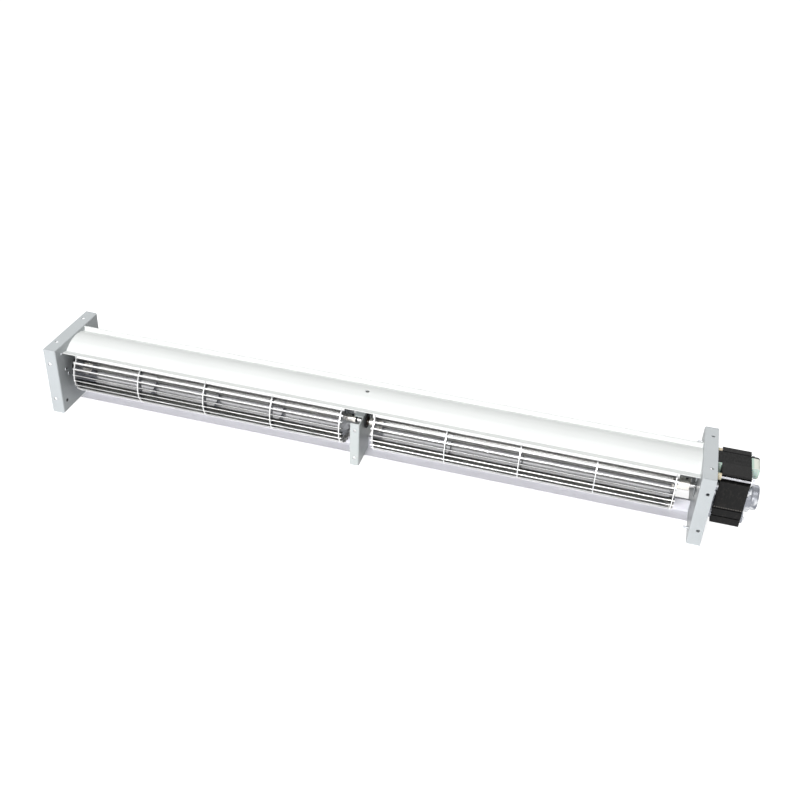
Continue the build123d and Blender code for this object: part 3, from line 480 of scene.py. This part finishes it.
class Graph:
    """A geometry node tree with named inputs."""

    def __init__(self, name, **inputs):
        self.tree = bpy.data.node_groups.new(name, "GeometryNodeTree")
        self.tree.interface.new_socket("Geometry", in_out="OUTPUT", socket_type="NodeSocketGeometry")
        self.identifiers = {}
        for label, kind in inputs.items():
            socket = self.tree.interface.new_socket(label, in_out="INPUT", socket_type=kind)
            self.identifiers[label] = socket.identifier
        self.inputs = self.tree.nodes.new("NodeGroupInput").outputs
        self.output = self.tree.nodes.new("NodeGroupOutput")

    def node(self, kind, setup=(), **inputs):
        made = self.tree.nodes.new(kind)
        for key, value in setup:
            setattr(made, key, value)
        for key, value in inputs.items():
            socket = made.inputs[key.replace("_", " ")]
            if isinstance(value, bpy.types.NodeSocket):
                self.tree.links.new(value, socket)
            else:
                socket.default_value = value
        return made

    def finish(self, geometry, material):
        """Ends the tree in real geometry with its material."""
        real = self.node("GeometryNodeRealizeInstances", Geometry=geometry)
        coloured = self.node("GeometryNodeSetMaterial", Geometry=real.outputs[0])
        coloured.inputs["Material"].default_value = material
        self.tree.links.new(coloured.outputs[0], self.output.inputs[0])

    def bake(self, name, body, slot, source, **values):
        """Runs the tree on a source mesh and leaves a plain mesh that rides on a body."""
        carrier = bpy.data.objects.new(name + "_source", source)
        bpy.context.scene.collection.objects.link(carrier)
        modifier = carrier.modifiers.new("graph", "NODES")
        modifier.node_group = self.tree
        for label, value in values.items():
            modifier[self.identifiers[label]] = value
        evaluated = carrier.evaluated_get(bpy.context.evaluated_depsgraph_get())
        mesh = bpy.data.meshes.new_from_object(evaluated)
        bpy.data.objects.remove(carrier)
        piece = bpy.data.objects.new(name, mesh)
        bpy.context.scene.collection.objects.link(piece)
        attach(piece, body)
        return piece


def points_mesh(points):
    mesh = bpy.data.meshes.new("points")
    mesh.from_pydata([tuple(point) for point in points], [], [])
    return mesh


# --- Small hardware ---------------------------------------------------------------------------------


def thread_graph(material):
    """A thread along X from each point of the source mesh."""
    graph = Graph(
        "Screw thread",
        Points="NodeSocketGeometry",
        Radius="NodeSocketFloat",
        Length="NodeSocketFloat",
        Pitch="NodeSocketFloat",
        Depth="NodeSocketFloat",
    )
    turns = graph.node("ShaderNodeMath", (("operation", "DIVIDE"),))
    graph.tree.links.new(graph.inputs["Length"], turns.inputs[0])
    graph.tree.links.new(graph.inputs["Pitch"], turns.inputs[1])
    helix = graph.node(
        "GeometryNodeCurveSpiral",
        Resolution=20,
        Rotations=turns.outputs[0],
        Start_Radius=graph.inputs["Radius"],
        End_Radius=graph.inputs["Radius"],
        Height=graph.inputs["Length"],
    )
    ridge = graph.node("GeometryNodeCurvePrimitiveCircle", Resolution=4, Radius=graph.inputs["Depth"])
    swept = graph.node(
        "GeometryNodeCurveToMesh", Curve=helix.outputs[0], Profile_Curve=ridge.outputs[0]
    )
    swept.inputs["Fill Caps"].default_value = True
    laid = graph.node(
        "GeometryNodeTransform", Geometry=swept.outputs[0], Rotation=(0.0, pi / 2, 0.0)
    )
    placed = graph.node(
        "GeometryNodeInstanceOnPoints", Points=graph.inputs["Points"], Instance=laid.outputs[0]
    )
    graph.finish(placed.outputs[0], material)
    return graph


def head_graph(material):
    """A domed head at each point of the source mesh, half sunk in its sheet."""
    graph = Graph(
        "Domed heads",
        Points="NodeSocketGeometry",
        Radius="NodeSocketFloat",
        Height="NodeSocketFloat",
    )
    ball = graph.node("GeometryNodeMeshUVSphere", Segments=28, Rings=14, Radius=1.0)
    shape = graph.node(
        "ShaderNodeCombineXYZ",
        X=graph.inputs["Height"],
        Y=graph.inputs["Radius"],
        Z=graph.inputs["Radius"],
    )
    dome = graph.node("GeometryNodeTransform", Geometry=ball.outputs[0], Scale=shape.outputs[0])
    smooth = graph.node("GeometryNodeSetShadeSmooth", Geometry=dome.outputs[0])
    placed = graph.node(
        "GeometryNodeInstanceOnPoints", Points=graph.inputs["Points"], Instance=smooth.outputs[0]
    )
    graph.finish(placed.outputs[0], material)
    return graph


class FAN_OT_hardware(bpy.types.Operator):
    """Cut the threads of the corner screws and add the small heads on the left end plate"""

    bl_idname = "fan.hardware"
    bl_label = "Small Hardware"

    def execute(self, context):
        detail = settings("detail")
        zinc = plated("Plated threads", settings("metal").zinc)
        thread_graph(zinc).bake(
            "corner_screw_threads",
            "housing",
            "zinc_steel",
            points_mesh([(screw_tip_x, *low_screw), (screw_tip_x, *high_screw)]),
            Radius=0.0015,
            Length=0.0050,
            Pitch=detail.thread_pitch,
            Depth=detail.thread_depth,
        )
        dark = blackened("Blackened screw heads")
        head_graph(dark).bake(
            "left_plate_screw_heads",
            "housing",
            "black_steel",
            points_mesh([(-web_x, *low_screw)]),
            Radius=0.0023,
            Height=0.0009,
        )
        head_graph(zinc).bake(
            "lip_screw_head",
            "housing",
            "zinc_steel",
            points_mesh([(-web_x, *lip_screw)]),
            Radius=0.0016,
            Height=0.0009,
        )
        return {"FINISHED"}


class FAN_OT_end_plates(bpy.types.Operator):
    """Paint the end plates and plate their screws"""

    bl_idname = "fan.end_plates"
    bl_label = "End Plates"

    def execute(self, context):
        paint = painted("Plate paint", settings("paint").plate)
        dress("left_end_plate", paint)
        dress("right_end_plate", paint)
        zinc = plated("Plated screws", settings("metal").zinc)
        dress("corner_screws", zinc)
        return {"FINISHED"}


class FAN_OT_casing(bpy.types.Operator):
    """Paint the casing sheets"""

    bl_idname = "fan.casing"
    bl_label = "Casing"

    def execute(self, context):
        paint = painted("Casing paint", settings("paint").shell)
        for sheet in ("top_shell", "rear_wall"):
            dress(sheet, paint)
        dress("tongue", painted("Tongue paint", settings("paint").tongue))
        return {"FINISHED"}


class FAN_OT_centre_bracket(bpy.types.Operator):
    """Finish the centre bracket and its foot rivets"""

    bl_idname = "fan.centre_bracket"
    bl_label = "Centre Bracket"

    def execute(self, context):
        dress("centre_bracket", painted("Bracket paint", settings("paint").bracket))
        dress("bracket_foot_rivets", plated("Plated rivets", settings("metal").zinc))
        return {"FINISHED"}


class FAN_OT_impellers(bpy.types.Operator):
    """Finish the blades, rings and end discs"""

    bl_idname = "fan.impellers"
    bl_label = "Impellers"

    def execute(self, context):
        strip = rolled_aluminium("Rolled aluminium")
        disc = stamped_aluminium("Stamped aluminium")
        for side in ("left", "right"):
            dress(side + "_wheel_blades", strip)
            dress(side + "_wheel_end_discs", disc)
            dress(side + "_wheel_rings", disc)
        return {"FINISHED"}


class FAN_OT_rotor_line(bpy.types.Operator):
    """Finish the hubs, shafts and bearings"""

    bl_idname = "fan.rotor_line"
    bl_label = "Shafts and Bearings"

    def execute(self, context):
        steel = turned_metal("Turned steel", settings("metal").steel)
        for node in ("left_outer_hub", "left_inner_hub", "right_inner_hub", "drive_hub"):
            dress(node, steel)
        ground = turned_metal("Ground shaft", (0.80, 0.80, 0.79), 0.12, 0.26)
        for node in ("end_shaft", "centre_shaft", "motor_shaft"):
            dress(node, ground)
        black = blackened("Blackened steel")
        for node in ("set_screws", "centre_washer", "rotor_core"):
            dress(node, black)
        rubber = moulded_rubber("Bearing rubber")
        dress("centre_bearing_rubber", rubber)
        dress("left_bearing_rubber", rubber)
        bronze = sintered("Sintered bronze")
        for node in ("centre_bearing_bush", "left_bearing_bush", "inner_motor_bush", "outer_motor_bush"):
            dress(node, bronze)
        zinc = plated("Plated bearing plate", settings("metal").zinc)
        dress("left_bearing_plate", zinc)
        dress("left_bearing_rivets", zinc)
        return {"FINISHED"}


class FAN_OT_motor(bpy.types.Operator):
    """Finish the motor"""

    bl_idname = "fan.motor"
    bl_label = "Motor"

    def execute(self, context):
        dress("stator_stack", laminated("Varnished laminations"))
        dress("shading_rings", drawn_copper("Drawn copper"))
        cast = die_cast("Die casting")
        dress("inner_bearing_bracket", cast)
        dress("outer_bearing_bracket", cast)
        dress("coil_bobbin", moulded_plastic("Bobbin plastic", settings("paint").bobbin))
        dress("coil_winding", wound_tape("Coil tape"))
        dress("coil_cover", pressed_board("Pressed board"))
        dress("stand_offs", moulded_plastic("Spacer plastic", settings("paint").spacer))
        zinc = plated("Plated motor screws", settings("metal").zinc)
        for node in ("bracket_screws", "mount_washers", "coil_terminals"):
            dress(node, zinc)
        dress("mount_bolts", plated("Dull motor bolts", settings("metal").bolt))
        return {"FINISHED"}


# --- Stage ------------------------------------------------------------------------------------------


def add_lamp(name, place, aim, size, power, tone):
    lamp = bpy.data.lights.new(name, "AREA")
    lamp.shape = "RECTANGLE"
    lamp.size, lamp.size_y = size
    lamp.energy = power
    lamp.color = tone
    holder = bpy.data.objects.new(name, lamp)
    holder.location = place
    holder.rotation_euler = (Vector(aim) - Vector(place)).to_track_quat("-Z", "Y").to_euler()
    bpy.context.scene.collection.objects.link(holder)


def floor_material():
    """Pale matte floor, plain white to the camera where nothing shades it."""
    matte = Shader("Pale floor", settings("stage").floor, roughness=0.95)
    matte.surface.inputs["Specular IOR Level"].default_value = 0.0
    rays = matte.node("ShaderNodeLightPath")
    seen = matte.math("MAXIMUM", rays.outputs["Is Camera Ray"], rays.outputs["Is Glossy Ray"])
    lift = matte.math("MULTIPLY", seen, settings("stage").floor_lift)
    matte.surface.inputs["Emission Color"].default_value = (1.0, 1.0, 1.0, 1.0)
    matte.tree.links.new(lift, matte.surface.inputs["Emission Strength"])
    return matte.material


def pale_world():
    world = bpy.data.worlds.new("Pale studio")
    bpy.context.scene.world = world
    world.use_nodes = True
    tree = world.node_tree
    tree.nodes.clear()
    rays = tree.nodes.new("ShaderNodeLightPath")
    seen = rays.outputs["Is Camera Ray"]
    for kind in ("Is Glossy Ray", "Is Transmission Ray"):
        either = tree.nodes.new("ShaderNodeMath")
        either.operation = "MAXIMUM"
        tree.links.new(seen, either.inputs[0])
        tree.links.new(rays.outputs[kind], either.inputs[1])
        seen = either.outputs[0]
    sky = tree.nodes.new("ShaderNodeBackground")
    sky.inputs["Color"].default_value = (0.96, 0.98, 1.0, 1.0)
    sky.inputs["Strength"].default_value = settings("stage").sky
    white = tree.nodes.new("ShaderNodeBackground")
    white.inputs["Color"].default_value = (1.0, 1.0, 1.0, 1.0)
    white.inputs["Strength"].default_value = 1.0
    mix = tree.nodes.new("ShaderNodeMixShader")
    out = tree.nodes.new("ShaderNodeOutputWorld")
    tree.links.new(seen, mix.inputs[0])
    tree.links.new(sky.outputs[0], mix.inputs[1])
    tree.links.new(white.outputs[0], mix.inputs[2])
    tree.links.new(mix.outputs[0], out.inputs[0])


class FAN_OT_stage(bpy.types.Operator):
    """Set up the floor, the lamps and the camera"""

    bl_idname = "fan.stage"
    bl_label = "Stage"

    def execute(self, context):
        stage = settings("stage")
        half = stage.floor_size / 2
        mesh = bpy.data.meshes.new("floor")
        corners = [(-half, -half, 0), (half, -half, 0), (half, half, 0), (-half, half, 0)]
        mesh.from_pydata(corners, [], [(0, 1, 2, 3)])
        floor = bpy.data.objects.new("floor", mesh)
        mesh.materials.append(floor_material())
        context.scene.collection.objects.link(floor)
        add_lamp("key", (-0.1, -0.8, 2.3), (0.0, 0.0, 0.0), (1.6, 1.2), stage.key, (1.0, 0.99, 0.97))
        add_lamp("front", (-0.2, -2.4, 1.2), (0.0, 0.0, 0.03), (0.9, 0.5), stage.fill, (0.98, 0.98, 1.0))
        add_lamp("rear", (0.5, 2.2, 1.3), (0.1, 0.0, 0.05), (1.2, 0.6), stage.rear, (1.0, 1.0, 1.0))
        pale_world()
        lens = bpy.data.cameras.new("camera")
        lens.lens = stage.lens
        lens.sensor_width = 36.0
        camera = bpy.data.objects.new("camera", lens)
        camera.matrix_world = (
            Matrix.Translation(stage.camera_place)
            @ Matrix.Rotation(stage.pan, 4, "Z")
            @ Matrix.Rotation(stage.tilt, 4, "X")
            @ Matrix.Rotation(stage.roll, 4, "Z")
        )
        context.scene.collection.objects.link(camera)
        context.scene.camera = camera
        context.scene.view_settings.view_transform = "Standard"
        return {"FINISHED"}


# --- Add-on -----------------------------------------------------------------------------------------

setting_groups = {
    "paint": FanPaintSettings,
    "metal": FanMetalSettings,
    "detail": FanDetailSettings,
    "stage": FanStageSettings,
}
operators = (
    FAN_OT_end_plates,
    FAN_OT_casing,
    FAN_OT_centre_bracket,
    FAN_OT_impellers,
    FAN_OT_rotor_line,
    FAN_OT_motor,
    FAN_OT_hardware,
    FAN_OT_stage,
)


class FAN_PT_panel(bpy.types.Panel):
    """Steps that dress the fan"""

    bl_idname = "FAN_PT_panel"
    bl_label = "Cross Flow Fan"
    bl_space_type = "VIEW_3D"
    bl_region_type = "UI"
    bl_category = "Fan"

    def draw(self, context):
        for operator in operators:
            self.layout.operator(operator.bl_idname)


def register():
    for group in setting_groups.values():
        bpy.utils.register_class(group)
    for name, group in setting_groups.items():
        setattr(bpy.types.Scene, "fan_" + name, PointerProperty(type=group))
    for operator in operators:
        bpy.utils.register_class(operator)
    bpy.utils.register_class(FAN_PT_panel)


def unregister():
    bpy.utils.unregister_class(FAN_PT_panel)
    for operator in reversed(operators):
        bpy.utils.unregister_class(operator)
    for name, group in setting_groups.items():
        delattr(bpy.types.Scene, "fan_" + name)
        bpy.utils.unregister_class(group)


def main():
    register()
    for operator in operators:
        group, action = operator.bl_idname.split(".")
        getattr(getattr(bpy.ops, group), action)()


if __name__ == "__main__":
    main()
